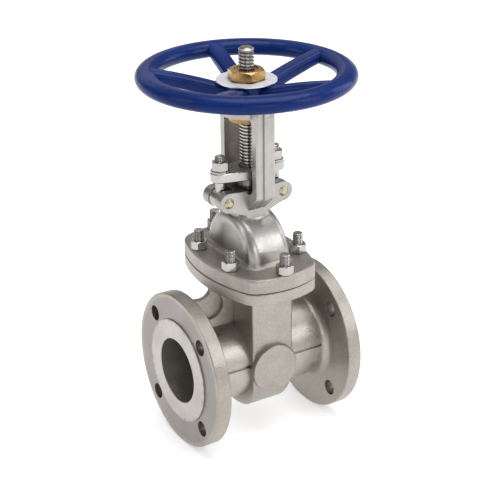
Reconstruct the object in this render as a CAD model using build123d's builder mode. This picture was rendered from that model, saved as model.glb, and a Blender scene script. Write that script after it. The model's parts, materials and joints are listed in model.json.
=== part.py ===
from build123d import *
import os
from math import cos, pi, radians, tan

# A flanged gate valve with a rising stem: 3 inch, class 150.
# The valve stands on the rims of its two end flanges. X runs along the flow, from inlet to outlet,
# Z runs up the stem, and the origin is on the floor under the stem.
# Heights named _h are measured from the flow axis. level() turns them into heights above the floor.

# End flanges
face_to_face = 203.2
flange_dia = 190.5
flange_thickness = 19.05
raised_face_dia = 127.0
raised_face_height = 1.6
bolt_circle_dia = 152.4
bolt_hole_dia = 19.05
bolt_hole_count = 4
bolt_circle_start_angle = 45
bore_dia = 80.0
flange_chamfer = 1.0
flow_z = flange_dia / 2

# Body casting
barrel_radius = 49.5
barrel_fillet = 9.0
parting_slot_h = 6.5
parting_slot_height = 3.8
parting_slot_depth = 2.5
core_half_depth = 53.2
core_half_width = 28.0
belly_centre_h = -13.0
core_edge_fillet = 2.5
belly_round_radius = 14.0
belly_disc_radius = 63.4
belly_disc_h = -3.5
cavity_half_depth = 48.0
cavity_half_width = 21.5
cavity_centre_h = -10.0
pad_radius = 30.0
pad_reach = 59.5
pad_fillet = 1.5
guide_half_width = 3.0
guide_reach = 39.6
guide_bottom_h = -30.0
guide_top_h = 100.0

# Gusset webs between the neck and the end flanges
web_half_thickness = 3.5
web_rim_half_thickness = 8.5
web_flange_h = 87.0
web_dip_x = 68.0
web_dip_h = 85.5
web_curve_x = 58.5
web_curve_h = 89.0
web_top_x = 53.0
web_pocket_x = 58.0
web_pocket_h = 77.0
web_pocket_radius = 17.0
web_rim_reach = 60.0
web_rim_top_h = 88.0
web_root_h = 44.0

# Bonnet joint
joint_half_x = 61.5
joint_half_y = 88.5
joint_side_radius = 190.0
joint_end_radius = 95.0
joint_corner_radius = 24.0
body_flange_bottom_h = 102.0
body_flange_top_h = 115.2
gasket_thickness = 1.6
gasket_inset = 1.2
bonnet_flange_thickness = 16.8
bonnet_flange_fillet = 3.0
joint_edge_fillet = 1.2
stud_side_x = 46.5
stud_side_y = 36.0
stud_end_y = 79.0
stud_radius = 6.0
stud_clearance_radius = 6.75
stud_engagement = 11.5
stud_stickout = 24.0
stud_pitch = 1.75
stud_thread_depth = 0.9
nut_across_flats = 18.0
nut_height = 10.8
nut_bore_radius = 6.05
nut_turn = 17.0
nut_land_share = 0.97
thread_root_share = 0.5
thread_crest_share = 0.94

# Bonnet dome and stuffing box
dome_radius = 54.0
dome_half_width = 28.0
dome_wall = 6.5
dome_edge_fillet = 12.0
dome_base_fillet = 6.0
neck_radius = 23.5
neck_fillet = 6.5
neck_top_h = 214.0
box_radius = 15.0
box_bottom_h = 190.0
backseat_bush_radius = 12.5
backseat_bush_bottom_h = 177.5
backseat_cone_height = 3.0
bush_clearance = 0.2
packing_ring_count = 4
packing_ring_height = 4.4
packing_clearance = 0.05
packing_ring_joint = 0.2

# Swing bolts of the gland
swing_x = 37.0
pin_h = 207.0
pin_radius = 5.0
pin_head_radius = 6.3
pin_head_height = 2.4
pin_hole_clearance = 0.06
ear_radius = 12.0
ear_outer_y = 20.0
ear_inner_y = 8.0
ear_root_top_h = 217.0
ear_root_bottom_h = 186.0
ear_root_x = 12.0
eye_radius = 11.0
eye_half_thickness = 7.4
swing_tip_h = 259.5
swing_thread_bottom_h = 236.0

# Gland
gland_bottom_h = 229.2
gland_thickness = 11.4
gland_end_radius = 11.5
gland_mid_radius = 21.0
gland_fillet = 1.2
gland_bore_radius = 10.0
follower_collar_radius = 19.0
follower_collar_height = 7.0
follower_nose_radius = 14.8
follower_bore_radius = 9.4
washer_radius = 11.0
washer_thickness = 1.8
washer_bore_radius = 6.6

# Yoke
arm_half_width = 12.5
arm_inner_y = 30.5
arm_outer_y = 41.5
arm_corner_fillet = 3.0
rib_half_width = 4.0
rib_height = 3.0
rib_fillet = 1.6
yoke_window_fillet = 8.0
yoke_shoulder_radius = 16.0
yoke_foot_h = 190.0
yoke_foot_y = 17.5
yoke_foot_shoulder_h = 211.0
yoke_foot_radius = 10.0
yoke_hub_bottom_h = 305.0
yoke_hub_top_h = 325.0
yoke_hub_radius = 30.0
yoke_bore_radius = 17.06

# Stem: left-hand trapezoidal thread, so that turning the wheel counter-clockwise lifts the gate
stem_radius = 9.0
thread_pitch = 4.0
thread_depth = 2.0
thread_crest_gap = 2.55
thread_root_gap = 1.45
thread_crest_overrun = 0.3
thread_bottom_h = 243.0
stem_top_h = 382.0
stem_tip_chamfer = 2.5
gate_lift = 84.0
backseat_collar_radius = 12.0
backseat_collar_height = 5.0
backseat_gap = 0.3
tee_bottom_h = 44.0
tee_height = 9.0
tee_half_length = 12.0
tee_half_width = 10.5
tee_neck_radius = 7.0
tee_neck_top_h = 64.0

# Gate and seats
wedge_angle = 5.0
wedge_half_thickness = 13.0
wedge_radius = 43.5
wedge_boss_half_width = 18.0
wedge_top_h = 60.0
tee_slot_clearance = 0.5
guide_slot_half_width = 3.7
guide_slot_reach = 39.1
seat_gap = 0.05
seat_outer_radius = 44.0
seat_shoulder_x = 32.0

# Yoke sleeve, which turns in the yoke hub and is the stem's nut
sleeve_collar_radius = 20.5
sleeve_bottom_h = 297.0
sleeve_collar_top_h = 303.4
sleeve_journal_radius = 17.0
sleeve_seat_h = 326.9
sleeve_hub_radius = 15.0
sleeve_thread_radius = 14.0
sleeve_thread_bottom_h = 343.0
sleeve_top_h = 355.5
sleeve_bore_radius = 9.35
thrust_washer_gap = 0.05
thrust_washer_upper_radius = 25.0

# Handwheel
rim_radius = 113.5
rim_half_height = 10.0
rim_top_radius = 15.0
rim_side_radius = 8.6
rim_h = 350.0
wave_count = 30
wave_radius = 16.0
wave_depth = 1.4
wheel_hub_radius = 25.0
wheel_hub_top_h = 343.5
spoke_count = 5
spoke_first_angle = 151.3
spoke_half_width = 10.35
spoke_root_half_thickness = 8.8
spoke_tip_half_thickness = 7.2
spoke_start_x = 18.5
spoke_start_h = 327.3
spoke_mid_x = 66.0
spoke_mid_h = 341.8
spoke_end_x = 108.0
spoke_end_h = 351.5
spoke_fillet = 6.0
yoke_hub_relief_radius = 38.0
key_width = 5.0
key_height = 5.0
key_bottom_h = 328.0
key_length = 14.0
nameplate_radius = 35.0
nameplate_thickness = 1.2
nameplate_bore_radius = 14.2
wheel_nut_across_flats = 38.0
wheel_nut_height = 12.0
wheel_nut_bore_radius = 14.05
wheel_nut_angle = 14.0

# Sizes that follow from the ones above
half_length = face_to_face / 2
flange_back_x = half_length - flange_thickness
joint_face_h = body_flange_top_h + gasket_thickness
bonnet_flange_top_h = joint_face_h + bonnet_flange_thickness
gland_top_h = gland_bottom_h + gland_thickness
backseat_collar_top_h = backseat_bush_bottom_h - gate_lift - backseat_gap
stud_places = [(0, stud_end_y), (0, -stud_end_y)]
stud_places += [(x, y) for x in (-stud_side_x, stud_side_x) for y in (-stud_side_y, stud_side_y)]
swing_places = [(-swing_x, 0), (swing_x, 0)]
sides = (-1, 1)
edge_tolerance = 0.1

os.makedirs("parts", exist_ok=True)


def level(height):
    """Height above the floor of a height measured from the flow axis."""
    return flow_z + height


def hex_nut(across_flats, height, bore_radius):
    """Hexagon nut with both ends chamfered, standing on Z = 0."""
    corner_radius = across_flats / 2 / cos(pi / 6)
    land_radius = across_flats / 2 * nut_land_share
    chamfer_height = (corner_radius - land_radius) * tan(pi / 6)
    with BuildPart() as nut:
        with BuildSketch():
            RegularPolygon(corner_radius, 6)
            Circle(bore_radius, mode=Mode.SUBTRACT)
        extrude(amount=height)
        with BuildSketch(Plane.XZ):
            Polygon(
                (0, 0),
                (land_radius, 0),
                (corner_radius, chamfer_height),
                (corner_radius, height - chamfer_height),
                (land_radius, height),
                (0, height),
                align=None,
            )
        revolve(axis=Axis.Z, mode=Mode.INTERSECT)
    return nut.part


def joint_oval(inset):
    """Outline of the bonnet joint, moved in by inset: four large arcs with rounded corners."""
    side_radius = joint_side_radius - inset
    end_radius = joint_end_radius - inset
    with BuildSketch() as oval:
        with Locations((joint_half_x - joint_side_radius, 0)):
            Circle(side_radius)
        with Locations((joint_side_radius - joint_half_x, 0)):
            Circle(side_radius, mode=Mode.INTERSECT)
        with Locations((0, joint_half_y - joint_end_radius)):
            Circle(end_radius, mode=Mode.INTERSECT)
        with Locations((0, joint_end_radius - joint_half_y)):
            Circle(end_radius, mode=Mode.INTERSECT)
        fillet(oval.vertices(), joint_corner_radius - inset)
    return oval.sketch


def threaded_rod(radius, bottom, thread_bottom, top, pitch, depth):
    """Rod whose upper end carries thread grooves, on the Z axis."""
    turns = int((top - thread_bottom) / pitch)
    outline = [(0, bottom), (radius, bottom), (radius, thread_bottom)]
    for turn in range(turns):
        groove = thread_bottom + pitch * turn
        outline.append((radius - depth, groove + pitch * thread_root_share))
        outline.append((radius, groove + pitch * thread_crest_share))
        outline.append((radius, groove + pitch))
    outline.append((radius, top - depth))
    outline.append((radius - depth, top))
    outline.append((0, top))
    with BuildPart() as rod:
        with BuildSketch(Plane.XZ):
            Polygon(*outline, align=None)
        revolve(axis=Axis.Z)
    return rod.part


def cut_thread(bottom, top, root_gap, crest_gap, root_radius, crest_radius):
    """Cut a left-hand trapezoidal thread space around the Z axis. Both its ends stay in the metal."""
    with BuildLine() as path:
        Helix(thread_pitch, top - bottom, stem_radius, center=(0, 0, bottom), lefthand=True)
    with BuildSketch(Plane((stem_radius, 0, bottom), x_dir=(1, 0, 0), z_dir=(0, 1, 0))) as space:
        inner = root_radius - stem_radius
        outer = crest_radius - stem_radius
        Polygon(
            (inner, -root_gap / 2),
            (outer, -crest_gap / 2),
            (outer, crest_gap / 2),
            (inner, root_gap / 2),
            align=None,
        )
    sweep(space.sketch, path=path.wire(), is_frenet=True, mode=Mode.SUBTRACT)


def core_envelope():
    """Room that rounds the lower corners of the core: a thick disc with round rims, open at the top."""
    with BuildPart() as envelope:
        with BuildSketch(Plane.YZ):
            with Locations((0, level(belly_disc_h))):
                Circle(belly_disc_radius)
        extrude(amount=core_half_width, both=True)
        fillet(envelope.edges(), belly_round_radius)
        with BuildSketch(Plane.YZ):
            with Locations((0, level(belly_disc_h))):
                Rectangle(
                    2 * belly_disc_radius,
                    body_flange_top_h - belly_disc_h,
                    align=(Align.CENTER, Align.MIN),
                )
        extrude(amount=core_half_width, both=True)
    return envelope.part


def wheel_spoke():
    """One spoke along +X: it rises from the hub to the rim and has rounded edges."""
    top_start = (spoke_start_x, level(spoke_start_h) + spoke_root_half_thickness)
    top_end = (spoke_end_x, level(spoke_end_h) + spoke_tip_half_thickness)
    low_start = (spoke_start_x, level(spoke_start_h) - spoke_root_half_thickness)
    low_end = (spoke_end_x, level(spoke_end_h) - spoke_tip_half_thickness)
    mid_half_thickness = (spoke_root_half_thickness + spoke_tip_half_thickness) / 2
    with BuildPart() as spoke:
        with BuildSketch(Plane.XZ):
            with BuildLine():
                ThreePointArc(top_start, (spoke_mid_x, level(spoke_mid_h) + mid_half_thickness), top_end)
                Line(top_end, low_end)
                ThreePointArc(low_end, (spoke_mid_x, level(spoke_mid_h) - mid_half_thickness), low_start)
                Line(low_start, top_start)
            make_face()
        extrude(amount=spoke_half_width, both=True)
        fillet(spoke.faces().filter_by(Axis.Y).edges().filter_by(GeomType.CIRCLE), spoke_fillet)
    return spoke.part


def yoke_slab(reach, half_width, corner_fillet):
    """Upright slab with the outline of the yoke and rounded corners, before its window is cut."""
    with BuildPart() as slab:
        with BuildSketch(Plane.YZ) as outline:
            Polygon(
                (-yoke_foot_y, level(yoke_foot_h)),
                (yoke_foot_y, level(yoke_foot_h)),
                (reach, level(yoke_foot_shoulder_h)),
                (reach, level(yoke_hub_top_h)),
                (-reach, level(yoke_hub_top_h)),
                (-reach, level(yoke_foot_shoulder_h)),
                align=None,
            )
            fillet(outline.vertices().group_by(Axis.Y)[-1], yoke_shoulder_radius)
            fillet(outline.vertices().group_by(Axis.Y)[1], yoke_foot_radius)
        extrude(amount=half_width, both=True)
        fillet(slab.faces().filter_by(Axis.X).edges(), corner_fillet)
    return slab.part


def end_plane(side, distance):
    """Plane across the flow axis, at a distance towards the inlet (-1) or the outlet (1), facing out."""
    return Plane(origin=(side * distance, 0, flow_z), x_dir=(0, side, 0), z_dir=(side, 0, 0))


def wedge_plane(side, gap):
    """Plane of one wedge face, moved outwards by gap. Its normal points into the wedge."""
    return Plane(
        origin=(side * (wedge_half_thickness + gap), 0, flow_z),
        x_dir=(0, 1, 0),
        z_dir=(-side * cos(radians(wedge_angle)), 0, cos(radians(90 - wedge_angle))),
    )


# Body: barrels and end flanges around a flat-sided core with a round belly
with BuildPart() as body:
    with BuildSketch(Plane.YZ):
        with Locations((0, level(belly_centre_h))):
            Circle(core_half_depth)
            Rectangle(
                2 * core_half_depth,
                body_flange_top_h - belly_centre_h,
                align=(Align.CENTER, Align.MIN),
            )
    extrude(amount=core_half_width, both=True)
    side_faces = body.faces().filter_by(Axis.X)
    fillet(side_faces.edges().filter_by(Axis.Y, reverse=True), core_edge_fillet)
    add(core_envelope(), mode=Mode.INTERSECT)

    with BuildSketch(Plane.YZ):
        with Locations((0, flow_z)):
            Circle(barrel_radius)
    extrude(amount=flange_back_x, both=True)
    for side in sides:
        with BuildSketch(end_plane(side, flange_back_x)):
            Circle(flange_dia / 2)
        extrude(amount=flange_thickness - raised_face_height)
        with BuildSketch(end_plane(side, half_length - raised_face_height)):
            Circle(raised_face_dia / 2)
        extrude(amount=raised_face_height)
    rims = body.edges().filter_by(lambda e: e.geom_type == GeomType.CIRCLE and e.radius == flange_dia / 2)
    chamfer(rims, flange_chamfer)
    roots = body.edges().filter_by(lambda e: e.geom_type == GeomType.CIRCLE and e.radius == barrel_radius)
    fillet(roots.filter_by(lambda e: abs(abs(e.center().X) - flange_back_x) < 1), barrel_fillet)
    with BuildSketch(Plane.XZ.offset(-pad_reach)):
        with Locations((0, flow_z)):
            Circle(pad_radius)
    extrude(amount=2 * pad_reach)
    pad_rims = body.edges().filter_by(lambda e: e.geom_type == GeomType.CIRCLE and e.radius == pad_radius)
    fillet(pad_rims.filter_by(lambda e: abs(abs(e.center().Y) - pad_reach) < 1), pad_fillet)
    slot_length = flange_back_x - barrel_fillet - core_half_width
    for side in sides:
        slot_middle_x = side * (core_half_width + slot_length / 2)
        with BuildSketch(Plane.XY.offset(level(parting_slot_h))):
            with Locations((slot_middle_x, barrel_radius), (slot_middle_x, -barrel_radius)):
                Rectangle(slot_length, 2 * parting_slot_depth)
        extrude(amount=parting_slot_height / 2, both=True, mode=Mode.SUBTRACT)

    # Gusset webs with a pocketed rim beside the neck
    for side in sides:
        with BuildSketch(Plane.XZ):
            with BuildLine():
                Line((side * core_half_width, level(web_root_h)), (side * flange_back_x, level(web_root_h)))
                Line((side * flange_back_x, level(web_root_h)), (side * flange_back_x, level(web_flange_h)))
                Line((side * flange_back_x, level(web_flange_h)), (side * web_dip_x, level(web_dip_h)))
                ThreePointArc(
                    (side * web_dip_x, level(web_dip_h)),
                    (side * web_curve_x, level(web_curve_h)),
                    (side * web_top_x, level(body_flange_bottom_h)),
                )
                Polyline(
                    (side * web_top_x, level(body_flange_bottom_h)),
                    (side * core_half_width, level(body_flange_bottom_h)),
                    (side * core_half_width, level(web_root_h)),
                )
            make_face()
        extrude(amount=web_half_thickness, both=True)
        with BuildSketch(Plane.XZ):
            Polygon(
                (side * core_half_width, level(web_root_h)),
                (side * web_rim_reach, level(web_root_h)),
                (side * web_rim_reach, level(web_rim_top_h)),
                (side * core_half_width, level(web_rim_top_h)),
                align=None,
            )
            with Locations((side * web_pocket_x, level(web_pocket_h))):
                Circle(web_pocket_radius, mode=Mode.SUBTRACT)
                Rectangle(web_pocket_radius, web_pocket_radius, mode=Mode.SUBTRACT)
        extrude(amount=web_rim_half_thickness, both=True)

    # Bonnet flange of the body, with tapped holes for the studs
    with BuildSketch(Plane.XY.offset(level(body_flange_bottom_h))):
        add(joint_oval(0))
    extrude(amount=body_flange_top_h - body_flange_bottom_h)
    flange_rim = body.faces().filter_by(Axis.Z).group_by(Axis.Z)[-1].edges()
    chamfer(flange_rim, joint_edge_fillet)
    with Locations(*[(x, y, level(body_flange_top_h)) for x, y in stud_places]):
        Hole(stud_radius, depth=stud_engagement)

    # Flow bore, gate cavity, seat pockets and gate guides
    with BuildSketch(Plane.YZ):
        with Locations((0, flow_z)):
            Circle(bore_dia / 2)
    extrude(amount=half_length, both=True, mode=Mode.SUBTRACT)
    with BuildSketch(Plane.YZ):
        with Locations((0, level(cavity_centre_h))):
            Circle(cavity_half_depth)
            Rectangle(
                2 * cavity_half_depth,
                body_flange_top_h - cavity_centre_h,
                align=(Align.CENTER, Align.MIN),
            )
    extrude(amount=cavity_half_width, both=True, mode=Mode.SUBTRACT)
    with BuildSketch(Plane.YZ):
        with Locations((0, flow_z)):
            Circle(seat_outer_radius)
    extrude(amount=seat_shoulder_x, both=True, mode=Mode.SUBTRACT)
    for side in sides:
        with BuildSketch(Plane.XY.offset(level(guide_bottom_h))):
            with Locations((0, side * (guide_reach + core_half_depth) / 2)):
                Rectangle(2 * guide_half_width, core_half_depth - guide_reach)
        extrude(amount=guide_top_h - guide_bottom_h)

    # Flange bolt holes
    for side in sides:
        with BuildSketch(end_plane(side, flange_back_x)):
            with PolarLocations(bolt_circle_dia / 2, bolt_hole_count, start_angle=bolt_circle_start_angle):
                Circle(bolt_hole_dia / 2)
        extrude(amount=flange_thickness, mode=Mode.SUBTRACT)
body.part.label = "body"
export_step(body.part, "parts/body.step")

# Seat rings: their faces lean with the wedge
for side, name in zip(sides, ("seat_ring_inlet", "seat_ring_outlet")):
    with BuildPart() as seat_ring:
        with BuildSketch(end_plane(side, 0)):
            Circle(seat_outer_radius)
            Circle(bore_dia / 2, mode=Mode.SUBTRACT)
        extrude(amount=seat_shoulder_x)
        split(bisect_by=wedge_plane(side, seat_gap), keep=Keep.BOTTOM)
    seat_ring.part.label = name
    export_step(seat_ring.part, f"parts/{name}.step")

# Wedge: disc with a boss on top, cut to the wedge angle, slotted for the guides and the stem's tee head
with BuildPart() as wedge:
    with BuildSketch(Plane.YZ):
        with Locations((0, flow_z)):
            Circle(wedge_radius)
            Rectangle(2 * wedge_boss_half_width, wedge_top_h, align=(Align.CENTER, Align.MIN))
    extrude(amount=cavity_half_width, both=True)
    for side in sides:
        split(bisect_by=wedge_plane(side, 0), keep=Keep.TOP)
        with BuildSketch(Plane.XY.offset(level(-wedge_radius))):
            with Locations((0, side * (guide_slot_reach + wedge_radius) / 2)):
                Rectangle(2 * guide_slot_half_width, wedge_radius - guide_slot_reach)
        extrude(amount=2 * wedge_radius, mode=Mode.SUBTRACT)
    with BuildSketch(Plane.YZ):
        slot_floor = level(tee_bottom_h)
        with Locations((0, slot_floor)):
            Rectangle(
                2 * (tee_half_width + tee_slot_clearance),
                tee_height + tee_slot_clearance,
                align=(Align.CENTER, Align.MIN),
            )
            Rectangle(
                2 * (tee_neck_radius + tee_slot_clearance),
                wedge_top_h,
                align=(Align.CENTER, Align.MIN),
            )
    extrude(amount=cavity_half_width, both=True, mode=Mode.SUBTRACT)
wedge.part.label = "wedge"
export_step(wedge.part, "parts/wedge.step")

# Stem: tee head, neck, back-seat collar, smooth shank and left-hand thread up to the tip
with BuildPart() as stem:
    collar_top = level(backseat_collar_top_h)
    with BuildSketch(Plane.XY.offset(level(tee_bottom_h))):
        Rectangle(2 * tee_half_length, 2 * tee_half_width)
    extrude(amount=tee_height)
    with BuildSketch(Plane.XZ):
        Polygon(
            (0, level(tee_bottom_h)),
            (tee_neck_radius, level(tee_bottom_h)),
            (tee_neck_radius, level(tee_neck_top_h)),
            (stem_radius, level(tee_neck_top_h) + stem_radius - tee_neck_radius),
            (stem_radius, collar_top - backseat_collar_height),
            (backseat_collar_radius, collar_top - backseat_collar_height),
            (backseat_collar_radius, collar_top),
            (stem_radius, collar_top + backseat_collar_radius - stem_radius),
            (stem_radius, level(stem_top_h) - stem_tip_chamfer),
            (stem_radius - stem_tip_chamfer, level(stem_top_h)),
            (0, level(stem_top_h)),
            align=None,
        )
    revolve(axis=Axis.Z)
    cut_thread(
        level(thread_bottom_h),
        level(stem_top_h) - stem_tip_chamfer - thread_crest_gap / 2,
        thread_root_gap,
        thread_crest_gap,
        stem_radius - thread_depth,
        stem_radius + thread_crest_overrun,
    )
stem.part.label = "stem"
export_step(stem.part, "parts/stem.step")

# Gasket between the two bonnet flanges, set in a little from their edge
with BuildPart() as bonnet_gasket:
    with BuildSketch(Plane.XY.offset(level(body_flange_top_h))):
        add(joint_oval(gasket_inset))
        with Locations(*stud_places):
            Circle(stud_clearance_radius, mode=Mode.SUBTRACT)
        Rectangle(2 * cavity_half_width, 2 * cavity_half_depth, mode=Mode.SUBTRACT)
    extrude(amount=gasket_thickness)
bonnet_gasket.part.label = "bonnet_gasket"
export_step(bonnet_gasket.part, "parts/bonnet_gasket.step")

# Bonnet and yoke, one casting
with BuildPart() as bonnet_yoke:
    # Lower flange and half-round dome
    with BuildSketch(Plane.XY.offset(level(joint_face_h))):
        add(joint_oval(0))
    extrude(amount=bonnet_flange_thickness)
    fillet(bonnet_yoke.faces().sort_by(Axis.Z)[-1].edges(), bonnet_flange_fillet)
    with BuildSketch(Plane.YZ):
        with Locations((0, level(bonnet_flange_top_h))):
            Circle(dome_radius)
            Rectangle(2 * dome_radius, dome_radius, align=(Align.CENTER, Align.MIN), mode=Mode.INTERSECT)
    extrude(amount=dome_half_width, both=True)
    dome_rims = bonnet_yoke.edges().filter_by(GeomType.CIRCLE)
    dome_sides = dome_rims.filter_by(lambda e: abs(abs(e.center().X) - dome_half_width) < edge_tolerance)
    fillet(dome_sides, dome_edge_fillet)
    dome_foot = bonnet_yoke.edges().filter_by_position(
        Axis.Z, level(bonnet_flange_top_h) - edge_tolerance, level(bonnet_flange_top_h) + edge_tolerance
    )
    inside_rim = dome_foot.filter_by(lambda e: abs(e.center().X) < dome_half_width + 1)
    fillet(inside_rim.filter_by(lambda e: abs(e.center().Y) < dome_radius + 1), dome_base_fillet)

    # Stuffing-box neck, blended into the dome
    with BuildSketch(Plane.XY.offset(level(bonnet_flange_top_h))):
        Circle(neck_radius)
    extrude(amount=neck_top_h - bonnet_flange_top_h)
    dome_crown = level(bonnet_flange_top_h) + dome_radius
    neck_root = bonnet_yoke.edges().filter_by_position(Axis.Z, dome_crown - neck_radius / 2, dome_crown)
    fillet(neck_root.filter_by(GeomType.BSPLINE), neck_fillet)

    # Ears for the swing bolts, in pairs on both sides of the neck
    for side in sides:
        with BuildSketch(Plane.XZ):
            with BuildLine():
                Polyline(
                    (side * ear_root_x, level(ear_root_bottom_h)),
                    (side * (swing_x - 2), level(pin_h - ear_radius)),
                    (side * (swing_x - 2), level(pin_h + ear_radius)),
                    (side * ear_root_x, level(ear_root_top_h)),
                    (side * ear_root_x, level(ear_root_bottom_h)),
                )
            make_face()
            with Locations((side * swing_x, level(pin_h))):
                Circle(ear_radius)
        extrude(amount=ear_outer_y, both=True)
        with BuildSketch(Plane.XZ):
            with Locations((side * (neck_radius + ear_radius + ear_radius), level(pin_h))):
                Rectangle(2 * ear_radius + 2 * ear_radius, 4 * ear_radius)
        extrude(amount=ear_inner_y, both=True, mode=Mode.SUBTRACT)

    # Yoke: two arms that rise from a flared foot and meet in the hub, with a rib round the outside
    add(yoke_slab(arm_outer_y, arm_half_width, arm_corner_fillet))
    add(yoke_slab(arm_outer_y + rib_height, rib_half_width, rib_fillet))
    with BuildSketch(Plane.XY.offset(level(yoke_hub_bottom_h))):
        Circle(yoke_hub_radius)
    extrude(amount=yoke_hub_top_h - yoke_hub_bottom_h)
    with BuildSketch(Plane.YZ) as yoke_window:
        with Locations((0, level((neck_top_h + yoke_hub_bottom_h) / 2))):
            Rectangle(2 * arm_inner_y, yoke_hub_bottom_h - neck_top_h)
        fillet(yoke_window.vertices(), yoke_window_fillet)
    extrude(amount=arm_half_width, both=True, mode=Mode.SUBTRACT)

    # Bores: dome cavity, back-seat bush, stuffing box and yoke sleeve
    with BuildSketch(Plane.YZ):
        with Locations((0, level(bonnet_flange_top_h))):
            Circle(dome_radius - dome_wall)
            Rectangle(2 * dome_radius, dome_radius, align=(Align.CENTER, Align.MIN), mode=Mode.INTERSECT)
        with Locations((0, level(joint_face_h))):
            Rectangle(2 * cavity_half_depth, bonnet_flange_thickness, align=(Align.CENTER, Align.MIN))
    extrude(amount=dome_half_width - dome_wall, both=True, mode=Mode.SUBTRACT)
    with Locations((0, 0, level(box_bottom_h))):
        Cylinder(
            backseat_bush_radius,
            box_bottom_h - backseat_bush_bottom_h,
            align=(Align.CENTER, Align.CENTER, Align.MAX),
            mode=Mode.SUBTRACT,
        )
        Cylinder(
            box_radius,
            pin_h + ear_radius - box_bottom_h,
            align=(Align.CENTER, Align.CENTER, Align.MIN),
            mode=Mode.SUBTRACT,
        )
    with Locations((0, 0, level(yoke_hub_bottom_h))):
        Cylinder(
            yoke_bore_radius,
            yoke_hub_top_h - yoke_hub_bottom_h,
            align=(Align.CENTER, Align.CENTER, Align.MIN),
            mode=Mode.SUBTRACT,
        )

    # Stud holes and pin holes
    with Locations(*[(x, y, level(joint_face_h)) for x, y in stud_places]):
        Cylinder(
            stud_clearance_radius,
            bonnet_flange_thickness,
            align=(Align.CENTER, Align.CENTER, Align.MIN),
            mode=Mode.SUBTRACT,
        )
    with BuildSketch(Plane.XZ):
        with Locations(*[(x, level(pin_h)) for x, _ in swing_places]):
            Circle(pin_radius + pin_hole_clearance)
    extrude(amount=ear_outer_y, both=True, mode=Mode.SUBTRACT)
bonnet_yoke.part.label = "bonnet_yoke"
export_step(bonnet_yoke.part, "parts/bonnet_yoke.step")

# Bonnet studs, screwed into the body, and their nuts
stud_bottom_h = body_flange_top_h - stud_engagement
stud_top_h = bonnet_flange_top_h + stud_stickout
stud = threaded_rod(
    stud_radius,
    level(stud_bottom_h),
    level(bonnet_flange_top_h) + nut_height,
    level(stud_top_h),
    stud_pitch,
    stud_thread_depth,
)
nut = hex_nut(nut_across_flats, nut_height, nut_bore_radius)
with BuildPart() as bonnet_studs:
    with Locations(*[(x, y, 0) for x, y in stud_places]):
        add(stud)
bonnet_studs.part.label = "bonnet_studs"
export_step(bonnet_studs.part, "parts/bonnet_studs.step")

with BuildPart() as bonnet_nuts:
    for number, (x, y) in enumerate(stud_places):
        with Locations(Location((x, y, level(bonnet_flange_top_h)), (0, 0, nut_turn * number))):
            add(nut)
bonnet_nuts.part.label = "bonnet_nuts"
export_step(bonnet_nuts.part, "parts/bonnet_nuts.step")

# Back-seat bush in the roof of the dome, with a cone for the stem's collar
with BuildPart() as backseat_bush:
    with BuildSketch(Plane.XZ):
        bush_bottom = level(backseat_bush_bottom_h)
        bush_inner = stem_radius + bush_clearance
        Polygon(
            (bush_inner, bush_bottom + backseat_cone_height),
            (bush_inner + backseat_cone_height, bush_bottom),
            (backseat_bush_radius, bush_bottom),
            (backseat_bush_radius, level(box_bottom_h)),
            (bush_inner, level(box_bottom_h)),
            align=None,
        )
    revolve(axis=Axis.Z)
backseat_bush.part.label = "backseat_bush"
export_step(backseat_bush.part, "parts/backseat_bush.step")

# Packing rings, stacked in the stuffing box
with BuildPart() as packing_rings:
    for number in range(packing_ring_count):
        ring_bottom = level(box_bottom_h) + packing_ring_height * number
        with BuildSketch(Plane.XY.offset(ring_bottom)):
            Circle(box_radius)
            Circle(stem_radius + packing_clearance, mode=Mode.SUBTRACT)
        extrude(amount=packing_ring_height - packing_ring_joint)
packing_rings.part.label = "packing_rings"
export_step(packing_rings.part, "parts/packing_rings.step")

# Gland follower: nose inside the stuffing box, collar under the gland flange
with BuildPart() as gland_follower:
    nose_bottom = level(box_bottom_h) + packing_ring_height * packing_ring_count - packing_ring_joint
    collar_bottom = level(gland_bottom_h) - follower_collar_height
    with BuildSketch(Plane.XZ):
        Polygon(
            (follower_bore_radius, nose_bottom),
            (follower_nose_radius, nose_bottom),
            (follower_nose_radius, collar_bottom),
            (follower_collar_radius, collar_bottom),
            (follower_collar_radius, level(gland_bottom_h)),
            (follower_bore_radius, level(gland_bottom_h)),
            align=None,
        )
    revolve(axis=Axis.Z)
gland_follower.part.label = "gland_follower"
export_step(gland_follower.part, "parts/gland_follower.step")

# Gland flange: a bar, widest round the stem, with a hole at each end for the swing bolts
with BuildPart() as gland_flange:
    with BuildSketch(Plane.XY.offset(level(gland_bottom_h))) as bar:
        Circle(gland_mid_radius)
        with Locations(*swing_places):
            Circle(gland_end_radius)
        make_hull()
        Circle(gland_bore_radius, mode=Mode.SUBTRACT)
        with Locations(*swing_places):
            Circle(stud_clearance_radius, mode=Mode.SUBTRACT)
    extrude(amount=gland_thickness)
    bar_rims = gland_flange.faces().filter_by(Axis.Z).edges()
    outer_rims = bar_rims.filter_by(lambda e: e.geom_type == GeomType.LINE or e.radius > gland_bore_radius)
    chamfer(outer_rims, gland_fillet)
gland_flange.part.label = "gland_flange"
export_step(gland_flange.part, "parts/gland_flange.step")

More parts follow.
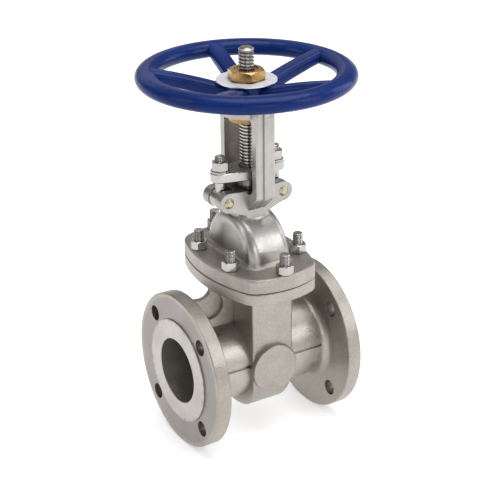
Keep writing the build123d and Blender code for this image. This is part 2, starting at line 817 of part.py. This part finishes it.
# Swing bolts: an eye on a pin between the ears, and a threaded shank through the gland flange
shank = threaded_rod(
    stud_radius,
    level(pin_h),
    level(swing_thread_bottom_h),
    level(swing_tip_h),
    stud_pitch,
    stud_thread_depth,
)
for (x, y), name in zip(swing_places, ("eyebolt_inlet", "eyebolt_outlet")):
    with BuildPart() as eyebolt:
        with Locations((x, y, 0)):
            add(shank)
        with BuildSketch(Plane.XZ):
            with Locations((x, level(pin_h))):
                Circle(eye_radius)
        extrude(amount=eye_half_thickness, both=True)
        with BuildSketch(Plane.XZ):
            with Locations((x, level(pin_h))):
                Circle(pin_radius + pin_hole_clearance)
        extrude(amount=eye_radius, both=True, mode=Mode.SUBTRACT)
    eyebolt.part.label = name
    export_step(eyebolt.part, f"parts/{name}.step")

# Pins through the ears, with a formed head at each end
with BuildPart() as eyebolt_pins:
    head_outer = ear_outer_y + pin_head_height
    for x, y in swing_places:
        with BuildSketch(Plane((x, 0, level(pin_h)), x_dir=(1, 0, 0), z_dir=(0, 0, 1))):
            with BuildLine():
                Polyline(
                    (0, -head_outer),
                    (pin_head_radius / 2, -head_outer),
                    (pin_head_radius, -ear_outer_y),
                    (pin_radius, -ear_outer_y),
                    (pin_radius, ear_outer_y),
                    (pin_head_radius, ear_outer_y),
                    (pin_head_radius / 2, head_outer),
                    (0, head_outer),
                    close=True,
                )
            make_face()
        revolve(axis=Axis((x, 0, level(pin_h)), (0, 1, 0)))
eyebolt_pins.part.label = "eyebolt_pins"
export_step(eyebolt_pins.part, "parts/eyebolt_pins.step")

# Washers and nuts on the swing bolts
with BuildPart() as gland_washers:
    with BuildSketch(Plane.XY.offset(level(gland_top_h))):
        with Locations(*swing_places):
            Circle(washer_radius)
            Circle(washer_bore_radius, mode=Mode.SUBTRACT)
    extrude(amount=washer_thickness)
gland_washers.part.label = "gland_washers"
export_step(gland_washers.part, "parts/gland_washers.step")

with BuildPart() as gland_nuts:
    with Locations(*[(x, y, level(gland_top_h) + washer_thickness) for x, y in swing_places]):
        add(nut)
gland_nuts.part.label = "gland_nuts"
export_step(gland_nuts.part, "parts/gland_nuts.step")

# Yoke sleeve: collar under the hub, journal in the hub, seat for the handwheel and thread for its nut
with BuildPart() as yoke_sleeve:
    with BuildSketch(Plane.XZ):
        Polygon(
            (sleeve_bore_radius, level(sleeve_bottom_h)),
            (sleeve_collar_radius, level(sleeve_bottom_h)),
            (sleeve_collar_radius, level(sleeve_collar_top_h)),
            (sleeve_journal_radius, level(sleeve_collar_top_h)),
            (sleeve_journal_radius, level(sleeve_seat_h)),
            (sleeve_hub_radius, level(sleeve_seat_h)),
            (sleeve_hub_radius, level(sleeve_thread_bottom_h)),
            (sleeve_thread_radius, level(sleeve_thread_bottom_h)),
            (sleeve_thread_radius, level(sleeve_top_h)),
            (sleeve_bore_radius, level(sleeve_top_h)),
            align=None,
        )
    revolve(axis=Axis.Z)
    with BuildSketch(Plane.XY.offset(level(key_bottom_h))):
        with Locations((sleeve_hub_radius, 0)):
            Rectangle(key_height, key_width)
    extrude(amount=key_length, mode=Mode.SUBTRACT)
yoke_sleeve.part.label = "yoke_sleeve"
export_step(yoke_sleeve.part, "parts/yoke_sleeve.step")

# Thrust washers, below and above the yoke hub
for name, bottom, top, radius in (
    ("thrust_washer_lower", sleeve_collar_top_h, yoke_hub_bottom_h, sleeve_collar_radius),
    ("thrust_washer_upper", yoke_hub_top_h, sleeve_seat_h, thrust_washer_upper_radius),
):
    with BuildPart() as thrust_washer:
        with BuildSketch(Plane.XY.offset(level(bottom) + thrust_washer_gap)):
            Circle(radius)
            Circle(yoke_bore_radius, mode=Mode.SUBTRACT)
        extrude(amount=top - bottom - 2 * thrust_washer_gap)
    thrust_washer.part.label = name
    export_step(thrust_washer.part, f"parts/{name}.step")

# Handwheel: oval rim with finger waves below, hub with a keyway, and spokes that rise to the rim
with BuildPart() as handwheel:
    with BuildSketch(Plane.XZ) as rim_section:
        with Locations((rim_radius, level(rim_h) + rim_half_height - rim_top_radius)):
            Circle(rim_top_radius)
        with Locations((rim_radius, level(rim_h) - rim_half_height + rim_top_radius)):
            Circle(rim_top_radius, mode=Mode.INTERSECT)
        fillet(rim_section.vertices(), rim_side_radius)
    revolve(axis=Axis.Z)
    wave_axis_h = rim_h - rim_half_height - wave_radius + wave_depth
    with Locations((0, 0, level(wave_axis_h))):
        with PolarLocations(rim_radius, wave_count):
            Cylinder(wave_radius, 2 * rim_top_radius, rotation=(0, 90, 0), mode=Mode.SUBTRACT)
    with BuildSketch(Plane.XY.offset(level(sleeve_seat_h))):
        Circle(wheel_hub_radius)
    extrude(amount=wheel_hub_top_h - sleeve_seat_h)
    with PolarLocations(0, spoke_count, start_angle=spoke_first_angle):
        add(wheel_spoke())
    with Locations((0, 0, level(sleeve_seat_h))):
        Cylinder(
            yoke_hub_relief_radius,
            2 * spoke_root_half_thickness,
            align=(Align.CENTER, Align.CENTER, Align.MAX),
            mode=Mode.SUBTRACT,
        )
    with BuildSketch(Plane.XY.offset(level(sleeve_seat_h))):
        Circle(sleeve_hub_radius)
        with Locations((sleeve_hub_radius, 0)):
            Rectangle(key_height, key_width)
    extrude(amount=wheel_hub_top_h - sleeve_seat_h, mode=Mode.SUBTRACT)
handwheel.part.label = "handwheel"
export_step(handwheel.part, "parts/handwheel.step")

# Key between the sleeve and the handwheel hub
with BuildPart() as handwheel_key:
    with BuildSketch(Plane.XY.offset(level(key_bottom_h))):
        with Locations((sleeve_hub_radius, 0)):
            Rectangle(key_height, key_width)
    extrude(amount=key_length)
handwheel_key.part.label = "handwheel_key"
export_step(handwheel_key.part, "parts/handwheel_key.step")

# Plain disc under the handwheel nut
with BuildPart() as nameplate:
    with BuildSketch(Plane.XY.offset(level(wheel_hub_top_h))):
        Circle(nameplate_radius)
        Circle(nameplate_bore_radius, mode=Mode.SUBTRACT)
    extrude(amount=nameplate_thickness)
nameplate.part.label = "nameplate"
export_step(nameplate.part, "parts/nameplate.step")

# Handwheel nut
with BuildPart() as handwheel_nut:
    nut_place = Location((0, 0, level(wheel_hub_top_h) + nameplate_thickness), (0, 0, wheel_nut_angle))
    with Locations(nut_place):
        add(hex_nut(wheel_nut_across_flats, wheel_nut_height, wheel_nut_bore_radius))
handwheel_nut.part.label = "handwheel_nut"
export_step(handwheel_nut.part, "parts/handwheel_nut.step")
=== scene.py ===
import json
import math

import bpy
from mathutils import Matrix, Vector


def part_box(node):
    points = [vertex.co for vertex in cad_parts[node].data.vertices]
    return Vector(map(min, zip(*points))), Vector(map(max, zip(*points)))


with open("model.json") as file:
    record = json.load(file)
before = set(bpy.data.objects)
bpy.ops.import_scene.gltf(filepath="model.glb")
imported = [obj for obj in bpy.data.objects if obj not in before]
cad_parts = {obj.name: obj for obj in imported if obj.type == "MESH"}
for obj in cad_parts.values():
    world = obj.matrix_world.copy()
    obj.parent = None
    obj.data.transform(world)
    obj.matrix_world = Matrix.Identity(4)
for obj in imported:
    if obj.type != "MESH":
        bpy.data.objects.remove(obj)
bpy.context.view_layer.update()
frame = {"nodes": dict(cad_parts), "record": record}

# Places on the castings that have a finish of their own, in metres
seat_low, seat_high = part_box("seat_ring_inlet")
flow_height = (seat_low.z + seat_high.z) / 2
flow_axis = (0.0, 0.0, flow_height)
across_flow = (0, 1, 1)
across_stem = (1, 1, 0)
bolt_sizes = next(mount["dims"] for mount in frame["record"]["mounts"] if mount["name"] == "inlet_bolts")
bolt_hole_radius = bolt_sizes["hole_r_mm"] / 1000
bolt_offset = bolt_sizes["pcd_mm"] / 2000 * math.sqrt(0.5)
surface_margin = 0.0003
face_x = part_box("body")[1].x
flange_thickness = 0.01905
flange_back_x = face_x - flange_thickness
raised_face_height = 0.0016
bore_radius = 0.040
bore_wall = 0.001
flange_skin_depth = 0.004
bonnet_flange_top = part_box("bonnet_nuts")[0].z
window_half_width = 0.0305
arm_half_width = 0.0125
window_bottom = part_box("gland_follower")[0].z
window_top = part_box("thrust_washer_lower")[1].z

# Stretches over which one finish fades into the next: (where it is absent, where it is full)
machined_ring = (0.0650, 0.0610)
flange_ring = (0.0905, 0.0885)
barrel_ring = (0.0575, 0.0520)
barrel_core_end = (0.030, 0.034)
barrel_flange_end = (0.079, 0.074)
polish_start = (bonnet_flange_top + 0.001, bonnet_flange_top + 0.007)
thread_grease = (0.0070, 0.0082)

# Colours, each as (dark, light)
body_tones = ((0.295, 0.267, 0.235), (0.385, 0.357, 0.322))
barrel_tones = ((0.40, 0.37, 0.33), (0.46, 0.43, 0.39))
faced_tones = ((0.43, 0.405, 0.38), (0.53, 0.505, 0.48))
flange_tones = ((0.265, 0.243, 0.23), (0.325, 0.30, 0.285))
bonnet_tones = ((0.35, 0.335, 0.315), (0.43, 0.415, 0.395))
# Rough skin inside the yoke window, its colour darkened as painted shade.
window_skin_and_shade_tones = ((0.14, 0.125, 0.11), (0.20, 0.18, 0.155))
paint_tones = ((0.003, 0.014, 0.092), (0.005, 0.022, 0.128))
steel_tones = ((0.34, 0.33, 0.32), (0.44, 0.43, 0.42))
bright_tones = ((0.36, 0.345, 0.32), (0.50, 0.485, 0.46))
satin_tones = ((0.40, 0.39, 0.37), (0.50, 0.49, 0.47))
follower_tones = ((0.15, 0.14, 0.13), (0.22, 0.21, 0.20))
plate_tones = ((0.66, 0.675, 0.73), (0.72, 0.735, 0.79))
pin_tones = ((0.40, 0.36, 0.24), (0.54, 0.50, 0.36))
brass_tones = ((0.38, 0.225, 0.08), (0.56, 0.345, 0.13))
bronze_tones = ((0.28, 0.16, 0.06), (0.42, 0.25, 0.10))
graphite_tones = ((0.018, 0.018, 0.02), (0.05, 0.05, 0.052))
paper_tones = ((0.44, 0.44, 0.44), (0.46, 0.46, 0.46))

# Single colours
body_warm = (0.38, 0.32, 0.265)
body_fleck = (0.53, 0.50, 0.465)
# Painted shade for the corners and recesses of the body.
body_crease_shade = (0.24, 0.205, 0.165)
# Painted light: a lighter flat colour for the dim inside of the bore.
bore_painted_light = (0.40, 0.37, 0.33)
# Painted shade inside the flange bolt holes.
bolt_hole_painted_shade = (0.20, 0.18, 0.155)
# Painted shade for the corners and creases of the bonnet.
bonnet_crease_shade = (0.20, 0.185, 0.17)
# Painted shade for the corners of the painted handwheel.
paint_crease_shade = (0.003, 0.008, 0.05)
# Darker colours painted into the corners and creases of the small metal parts as shade. The last one also
# colours the real grease on the stem's thread roots.
brass_crease_shade = (0.16, 0.09, 0.03)
warm_crease_shade = (0.12, 0.10, 0.075)
cool_crease_shade = (0.14, 0.13, 0.12)
grease_and_crease_shade = (0.20, 0.175, 0.135)


class Graph:
    """A material and the few node shapes that every finish here is made of. Sizes are in metres."""

    def __init__(self, name):
        self.material = bpy.data.materials.new(name)
        self.material.use_nodes = True
        self.tree = self.material.node_tree
        self.shader = self.tree.nodes["Principled BSDF"]
        self.place = self.add("ShaderNodeTexCoord").outputs["Object"]

    def feed(self, socket, value):
        if isinstance(value, bpy.types.NodeSocket):
            self.tree.links.new(value, socket)
        elif socket.type == "RGBA" and len(value) == 3:
            socket.default_value = (*value, 1.0)
        else:
            socket.default_value = value

    def add(self, kind, inputs=None, **settings):
        node = self.tree.nodes.new(kind)
        for key, value in settings.items():
            setattr(node, key, value)
        for key, value in (inputs or {}).items():
            self.feed(node.inputs[key], value)
        return node

    def math(self, operation, first, second=0.0):
        return self.add("ShaderNodeMath", {0: first, 1: second}, operation=operation).outputs[0]

    def vector(self, operation, first, second=(0.0, 0.0, 0.0)):
        return self.add("ShaderNodeVectorMath", {0: first, 1: second}, operation=operation)

    def every(self, *masks):
        """1 where all the masks are 1."""
        product = masks[0]
        for mask in masks[1:]:
            product = self.math("MULTIPLY", product, mask)
        return product

    def noise(self, size, detail=3.0, stretch=(1.0, 1.0, 1.0)):
        """Noise with features of about this size, stretched along an axis if asked."""
        scaled = self.vector("MULTIPLY", self.place, stretch).outputs[0]
        inputs = {"Vector": scaled, "Scale": 1.0 / size, "Detail": detail, "Roughness": 0.6}
        return self.add("ShaderNodeTexNoise", inputs).outputs["Fac"]

    def spread(self, value, low, high, new_low=0.0, new_high=1.0):
        inputs = {"Value": value, "From Min": low, "From Max": high, "To Min": new_low, "To Max": new_high}
        return self.add("ShaderNodeMapRange", inputs).outputs["Result"]

    def patches(self, size, detail, contrast=(0.35, 0.65)):
        """Soft-edged patches from 0 to 1."""
        return self.spread(self.noise(size, detail), *contrast)

    def vary(self, noise, low, high):
        """Carries a noise over to the range from low to high."""
        return self.spread(noise, 0.3, 0.7, low, high)

    def blend(self, fac, first, second):
        node = self.add("ShaderNodeMix", {"Factor": fac}, data_type="RGBA")
        self.feed(node.inputs[6], first)
        self.feed(node.inputs[7], second)
        return node.outputs[2]

    def turn_between(self, fac, first, second):
        """Blend of two normals."""
        node = self.add("ShaderNodeMix", {"Factor": fac}, data_type="VECTOR")
        self.feed(node.inputs[4], first)
        self.feed(node.inputs[5], second)
        return node.outputs[1]

    def radius(self, centre, across):
        """Distance from an axis through centre; across is 0 along the axis and 1 at right angles to it."""
        moved = self.vector("SUBTRACT", self.place, centre).outputs[0]
        flattened = self.vector("MULTIPLY", moved, across).outputs[0]
        return self.vector("LENGTH", flattened).outputs["Value"]

    def rings(self, centre, across, pitch):
        """Fine turning marks around an axis, as a height."""
        wobble = self.math("MULTIPLY", self.noise(0.02, 2.0), pitch * 0.8)
        distance = self.math("ADD", self.radius(centre, across), wobble)
        wave = self.math("SINE", self.math("MULTIPLY", distance, 2.0 * math.pi / pitch))
        return self.math("MULTIPLY_ADD", wave, 0.5)

    def crease(self, reach, closed=0.35, open_at=0.9):
        """0 in corners and grooves, 1 in the open."""
        node = self.add("ShaderNodeAmbientOcclusion", {"Distance": reach}, samples=8)
        return self.spread(node.outputs["AO"], closed, open_at)

    def rounded(self, radius):
        return self.add("ShaderNodeBevel", {"Radius": radius}, samples=4).outputs["Normal"]

    def bump(self, height, depth, normal=None, strength=0.8):
        node = self.add("ShaderNodeBump", {"Height": height, "Distance": depth, "Strength": strength})
        if normal is not None:
            self.feed(node.inputs["Normal"], normal)
        return node.outputs["Normal"]

    def finish(self, **values):
        for key, value in values.items():
            self.feed(self.shader.inputs[key.replace("_", " ").title().replace("Ior", "IOR")], value)
        return self.material


def metal(name, tones, roughness, vary=0.06, grain=0.0012, depth=0.00005, corner_shade=cool_crease_shade, reach=0.003,
          edge=0.0005, stretch=(1, 1, 1), metallic=0.9):
    """Bare metal: blotched colour, painted shade in the corners, grain in the roughness and the surface."""
    graph = Graph(name)
    fine = graph.noise(size=grain, detail=4.0, stretch=stretch)
    colour = graph.blend(graph.patches(size=0.035, detail=4.0), *tones)
    # Painted shade: the corner colour is blended in where ambient occlusion finds corners and grooves.
    colour = graph.blend(graph.crease(reach), corner_shade, colour)
    smear = graph.vary(graph.noise(size=0.012, detail=3.0), -vary * 0.6, vary * 0.6)
    rough = graph.math("ADD", graph.vary(fine, roughness - vary, roughness + vary), smear)
    waves = graph.noise(size=0.02, detail=2.0)
    normal = graph.bump(waves, depth * 4.0, graph.rounded(radius=edge), strength=0.35)
    normal = graph.bump(fine, depth, normal)
    graph.finish(base_color=colour, metallic=metallic, roughness=rough, normal=normal)
    return graph


def turned_metal(name, tones, roughness, pitch=0.0006, corner_shade=grease_and_crease_shade, greasy=None, metallic=0.9):
    """Metal turned around the stem axis, with dark grease below the radius range greasy."""
    long_grain = (1, 1, 14)
    graph = metal(name, tones, roughness, grain=0.002, depth=0.00003, corner_shade=corner_shade, reach=0.004,
                  edge=0.0003, stretch=long_grain, metallic=metallic)
    plain_normal = graph.shader.inputs["Normal"].links[0].from_socket
    marks = graph.noise(size=pitch, detail=2.0, stretch=(0.05, 0.05, 1.0))
    graph.finish(normal=graph.bump(marks, 0.00004, plain_normal, strength=0.6))
    if greasy:
        plain_colour = graph.shader.inputs["Base Color"].links[0].from_socket
        # Grease on the thread roots, in the same colour as the painted corner shade.
        clean = graph.spread(graph.radius((0, 0, 0), across_stem), *greasy)
        graph.finish(base_color=graph.blend(clean, corner_shade, plain_colour))
    return graph


def bolt_hole_mask(graph, along):
    """1 inside the four bolt holes of each flange. Folding space leaves one hole to measure from."""
    off_axis = graph.vector("SUBTRACT", graph.place, flow_axis).outputs[0]
    folded = graph.vector("ABSOLUTE", off_axis).outputs[0]
    from_hole = graph.vector("SUBTRACT", folded, (0.0, bolt_offset, bolt_offset)).outputs[0]
    flattened = graph.vector("MULTIPLY", from_hole, across_flow).outputs[0]
    distance = graph.vector("LENGTH", flattened).outputs["Value"]
    near = graph.math("LESS_THAN", distance, bolt_hole_radius + surface_margin)
    return graph.every(near, graph.math("GREATER_THAN", along, flange_back_x - surface_margin))


def cast_body():
    """Blasted casting with a coarse grain. The raised faces are machined, the barrels smoother."""
    graph = Graph("cast_body")
    place = graph.add("ShaderNodeSeparateXYZ", {0: graph.place})
    along = graph.math("ABSOLUTE", place.outputs["X"])
    from_axis = graph.radius(flow_axis, across_flow)

    wander = graph.vary(graph.noise(size=0.006, detail=3.0), -0.003, 0.003)
    in_ring = graph.spread(graph.math("ADD", from_axis, wander), *machined_ring)
    on_face = graph.math("GREATER_THAN", along, face_x - raised_face_height / 2)
    machined = graph.every(on_face, in_ring)
    on_front = graph.math("GREATER_THAN", along, face_x - flange_skin_depth)
    on_flange = graph.every(on_front, graph.spread(from_axis, *flange_ring))
    on_barrel = graph.every(
        graph.spread(from_axis, *barrel_ring),
        graph.spread(along, *barrel_core_end),
        graph.spread(along, *barrel_flange_end),
        graph.math("GREATER_THAN", from_axis, bore_radius + bore_wall),
    )
    in_bore = graph.math("LESS_THAN", from_axis, bore_radius + surface_margin)

    blotch = graph.patches(size=0.03, detail=5.0, contrast=(0.35, 0.68))
    tint = graph.patches(size=0.07, detail=2.0)
    grain = graph.patches(size=0.0021, detail=3.0)
    fine = graph.noise(size=0.0011, detail=4.0)
    colour = graph.blend(blotch, *body_tones)
    colour = graph.blend(graph.math("MULTIPLY", tint, 0.35), colour, body_warm)
    colour = graph.blend(graph.math("MULTIPLY", grain, 0.30), colour, body_fleck)
    colour = graph.blend(on_flange, colour, graph.blend(blotch, *flange_tones))
    colour = graph.blend(on_barrel, colour, graph.blend(blotch, *barrel_tones))
    colour = graph.blend(machined, colour, graph.blend(blotch, *faced_tones))
    # Painted shade: darker in corners and recesses where ambient occlusion is high.
    colour = graph.blend(graph.crease(reach=0.007, closed=0.25, open_at=0.7), body_crease_shade, colour)
    # Painted light: a flat, lighter colour fills the bore and replaces the painted corner shade there.
    colour = graph.blend(in_bore, colour, bore_painted_light)
    # Painted shade: the bolt holes get a dark flat colour.
    colour = graph.blend(bolt_hole_mask(graph, along), colour, bolt_hole_painted_shade)

    rough = graph.math("SUBTRACT", graph.vary(fine, 0.29, 0.43), graph.math("MULTIPLY", on_barrel, 0.03))
    smear = graph.vary(graph.noise(size=0.015, detail=3.0), -0.05, 0.05)
    rough = graph.math("ADD", rough, smear)
    waves = graph.noise(size=0.018, detail=2.0)
    cast = graph.bump(waves, 0.0006, graph.rounded(radius=0.0010), strength=0.25)
    cast = graph.bump(grain, 0.00016, cast, strength=0.7)
    cast = graph.bump(fine, 0.00012, cast)
    turned = graph.bump(graph.rings(flow_axis, across_flow, 0.0008), 0.00004, cast, strength=0.7)
    normal = graph.turn_between(machined, cast, turned)
    graph.finish(base_color=colour, metallic=0.86, roughness=rough, normal=normal)
    return graph


def cast_bonnet():
    """Polished casting. The lower flange is blasted like the body, the yoke window keeps a rough skin whose
    colour is darkened as painted shade.
    """
    graph = Graph("cast_bonnet")
    place = graph.add("ShaderNodeSeparateXYZ", {0: graph.place})
    off_x = graph.math("ABSOLUTE", place.outputs["X"])
    off_y = graph.math("ABSOLUTE", place.outputs["Y"])
    height = place.outputs["Z"]
    window_skin_and_shade = graph.every(
        graph.math("LESS_THAN", off_x, arm_half_width - surface_margin),
        graph.math("LESS_THAN", off_y, window_half_width + surface_margin),
        graph.math("GREATER_THAN", height, window_bottom),
        graph.math("LESS_THAN", height, window_top + surface_margin),
    )
    upper = graph.spread(height, *polish_start)

    blotch = graph.patches(size=0.035, detail=4.0)
    grain = graph.patches(size=0.0018, detail=3.0)
    fine = graph.noise(size=0.0012, detail=4.0)
    blasted = graph.blend(graph.math("MULTIPLY", grain, 0.30), graph.blend(blotch, *body_tones), body_fleck)
    colour = graph.blend(upper, blasted, graph.blend(blotch, *bonnet_tones))
    # Painted shade: darker in corners and creases where ambient occlusion is high.
    colour = graph.blend(graph.crease(reach=0.006, closed=0.25, open_at=0.7), bonnet_crease_shade, colour)
    # Painted shade: the inner faces of the yoke window get a dark colour. The added roughness below is
    # their real rough skin.
    colour = graph.blend(window_skin_and_shade, colour, graph.blend(blotch, *window_skin_and_shade_tones))

    smear = graph.vary(graph.noise(size=0.012, detail=3.0), -0.04, 0.04)
    rough = graph.math("ADD", graph.vary(fine, 0.28, 0.40), smear)
    rough = graph.math("ADD", rough, graph.math("MULTIPLY", window_skin_and_shade, 0.12))
    rough = graph.math("ADD", rough, graph.spread(upper, 0.0, 1.0, new_low=0.10, new_high=0.0))
    grain_height = graph.every(grain, graph.spread(upper, 0.0, 1.0, new_low=1.0, new_high=0.3))
    waves = graph.noise(size=0.02, detail=2.0)
    normal = graph.bump(waves, 0.0004, graph.rounded(radius=0.0012), strength=0.35)
    normal = graph.bump(grain_height, 0.00016, normal, strength=0.7)
    normal = graph.bump(fine, 0.00009, normal)
    graph.finish(base_color=colour, metallic=0.90, roughness=rough, normal=normal)
    return graph


def wheel_paint():
    """Baked paint over a cast wheel, with a soft orange peel."""
    graph = Graph("wheel_paint")
    colour = graph.blend(graph.patches(size=0.05, detail=3.0), *paint_tones)
    # Painted shade: darker blue where ambient occlusion finds corners and grooves.
    colour = graph.blend(graph.crease(reach=0.005, closed=0.25, open_at=0.7), paint_crease_shade, colour)
    waves = graph.noise(size=0.015, detail=3.0)
    peel = graph.noise(size=0.004, detail=2.0)
    normal = graph.bump(waves, 0.0010, graph.rounded(radius=0.0012), strength=0.45)
    normal = graph.bump(peel, 0.00016, normal, strength=0.55)
    rough = graph.vary(graph.noise(size=0.01, detail=4.0), 0.18, 0.30)
    graph.finish(base_color=colour, metallic=0.0, roughness=rough, normal=normal, specular_ior_level=0.12)
    return graph


def graphite(name, grain):
    graph = Graph(name)
    fine = graph.noise(size=grain, detail=4.0)
    colour = graph.blend(fine, *graphite_tones)
    graph.finish(base_color=colour, roughness=graph.vary(fine, 0.5, 0.7), normal=graph.bump(fine, 0.0002))
    return graph


finishes = {
    "body": cast_body(),
    "bonnet_yoke": cast_bonnet(),
    "handwheel": wheel_paint(),
    "bonnet_gasket": graphite("gasket_graphite", grain=0.0012),
    "packing_rings": graphite("packing_graphite", grain=0.0008),
    "stem": turned_metal("stem_metal", satin_tones, roughness=0.26, greasy=thread_grease),
    "yoke_sleeve": turned_metal("sleeve_bronze", bronze_tones, roughness=0.28),
    "thrust_washer_lower": turned_metal("thrust_lower_bronze", bronze_tones, roughness=0.3, pitch=0.0007),
    "thrust_washer_upper": turned_metal("thrust_upper_bronze", bronze_tones, roughness=0.3, pitch=0.0007),
    "backseat_bush": turned_metal("bush_metal", steel_tones, roughness=0.3, corner_shade=cool_crease_shade),
    "gland_follower": turned_metal(
        "follower_metal", follower_tones, roughness=0.32, pitch=0.0007, corner_shade=warm_crease_shade
    ),
    "nameplate": turned_metal("plate_metal", plate_tones, roughness=0.36, corner_shade=cool_crease_shade, metallic=0.45),
    "gland_flange": metal(
        "gland_metal", satin_tones, roughness=0.30, grain=0.0015, depth=0.00006, reach=0.005, edge=0.0007
    ),
    "wedge": metal(
        "gate_metal", steel_tones, roughness=0.34, grain=0.001, depth=0.00006, corner_shade=warm_crease_shade, reach=0.006
    ),
    "handwheel_nut": metal(
        "wheel_nut_brass", brass_tones, roughness=0.30, vary=0.07, grain=0.002, depth=0.00006,
        corner_shade=brass_crease_shade, edge=0.0006
    ),
    "eyebolt_pins": metal(
        "pin_metal", pin_tones, roughness=0.28, grain=0.0015, depth=0.00004, corner_shade=warm_crease_shade, edge=0.0006
    ),
    "handwheel_key": metal("key_metal", steel_tones, roughness=0.3, vary=0.05, grain=0.001, depth=0.00004),
}
bright_pieces = {
    "seat_ring_inlet": "seat_inlet",
    "seat_ring_outlet": "seat_outlet",
    "bonnet_studs": "stud_metal",
    "bonnet_nuts": "nut_metal",
    "eyebolt_inlet": "eyebolt_inlet_metal",
    "eyebolt_outlet": "eyebolt_outlet_metal",
    "gland_washers": "washer_metal",
    "gland_nuts": "gland_nut_metal",
}
for node, name in bright_pieces.items():
    finishes[node] = metal(name, bright_tones, roughness=0.19, edge=0.0004)

for node, piece in frame["nodes"].items():
    for slot in piece.material_slots:
        slot.material = finishes[node].material


def paper_floor():
    """Pale paper that glows a little, with painted shade as weaker glow near the valve and painted contact
    shadows under the flanges.
    """
    size = 60.0
    near_and_far = (0.30, 1.2)
    bpy.ops.mesh.primitive_plane_add(size=size, location=(0, 0, 0))
    floor = bpy.context.object
    floor.name = "floor"
    graph = Graph("floor_paper")
    paper = graph.blend(graph.noise(size=0.4, detail=2.0), *paper_tones)
    # Painted shade: the glow is weaker near the valve.
    glow = graph.spread(graph.radius((0, 0, 0), across_stem), *near_and_far, new_low=0.80, new_high=1.0)
    # Painted contact shadows: ambient occlusion dims the glow under the flanges.
    free_of_contact_shadow = graph.crease(reach=0.045, closed=0.0, open_at=1.0)
    glow = graph.every(glow, graph.spread(free_of_contact_shadow, 0.2, 1.0, new_low=0.60, new_high=1.0))
    graph.finish(
        base_color=paper,
        roughness=0.9,
        specular_ior_level=0.1,
        emission_color=(1.0, 1.0, 1.0),
        emission_strength=glow,
    )
    floor.data.materials.append(graph.material)


def studio_world():
    """A bright horizon, a darker band above it and a pale sky, by the height of the direction."""
    bands = {0.0: (1.15, 1.15, 1.15), 0.03: (1.15, 1.15, 1.15), 0.05: (0.36, 0.34, 0.32),
             0.40: (0.17, 0.16, 0.15), 1.0: (0.80, 0.81, 0.85)}
    world = bpy.data.worlds.new("studio")
    bpy.context.scene.world = world
    world.use_nodes = True
    nodes = world.node_tree.nodes
    links = world.node_tree.links
    direction = nodes.new("ShaderNodeTexCoord")
    split = nodes.new("ShaderNodeSeparateXYZ")
    ramp = nodes.new("ShaderNodeValToRGB")
    links.new(direction.outputs["Generated"], split.inputs[0])
    links.new(split.outputs["Z"], ramp.inputs["Fac"])
    links.new(ramp.outputs["Color"], nodes["Background"].inputs["Color"])
    nodes["Background"].inputs["Strength"].default_value = 0.9
    stops = ramp.color_ramp.elements
    for height in list(bands)[1:-1]:
        stops.new(height)
    for stop, colour in zip(stops, bands.values()):
        stop.color = (*colour, 1)


def soft_box(name, place, width, height, power):
    """Rectangular lamp aimed at the middle of the valve."""
    aim = Vector((0.0, 0.0, 0.22))
    data = bpy.data.lights.new(name, "AREA")
    data.shape = "RECTANGLE"
    data.size = width
    data.size_y = height
    data.energy = power
    lamp = bpy.data.objects.new(name, data)
    bpy.context.scene.collection.objects.link(lamp)
    lamp.location = place
    lamp.rotation_euler = (aim - Vector(place)).to_track_quat("-Z", "Y").to_euler()


def photo_camera():
    """Camera that looks down the valve from the inlet side."""
    place = Vector((-0.78656, -1.28344, 0.90103))
    yaw = 0.5511
    pitch = 0.4204
    roll = -0.0108
    forward = Vector((math.sin(yaw) * math.cos(pitch), math.cos(yaw) * math.cos(pitch), -math.sin(pitch)))
    level_right = Vector((math.cos(yaw), -math.sin(yaw), 0.0))
    level_up = level_right.cross(forward)
    right = math.cos(roll) * level_right + math.sin(roll) * level_up
    up = math.cos(roll) * level_up - math.sin(roll) * level_right
    data = bpy.data.cameras.new("camera")
    data.sensor_width = 36.0
    data.lens = 99.75
    data.dof.use_dof = False
    camera = bpy.data.objects.new("camera", data)
    bpy.context.scene.collection.objects.link(camera)
    camera.matrix_world = Matrix.Translation(place) @ Matrix((right, up, -forward)).transposed().to_4x4()
    bpy.context.scene.camera = camera


paper_floor()
studio_world()
soft_box("overhead", (0.2, -0.1, 1.9), width=1.3, height=1.3, power=21.5)
soft_box("key", (0.9, -1.4, 1.08), width=0.7, height=1.1, power=9.5)
soft_box("front", (-0.45, -1.85, 0.95), width=0.9, height=0.8, power=7.0)
soft_box("right", (1.7, -0.25, 1.0), width=0.9, height=1.1, power=8.0)
soft_box("left", (-1.6, 0.3, 1.1), width=0.6, height=1.2, power=5.5)
soft_box("behind", (0.3, 1.7, 1.3), width=1.6, height=0.8, power=2.0)
photo_camera()
bpy.context.scene.view_settings.view_transform = "Standard"
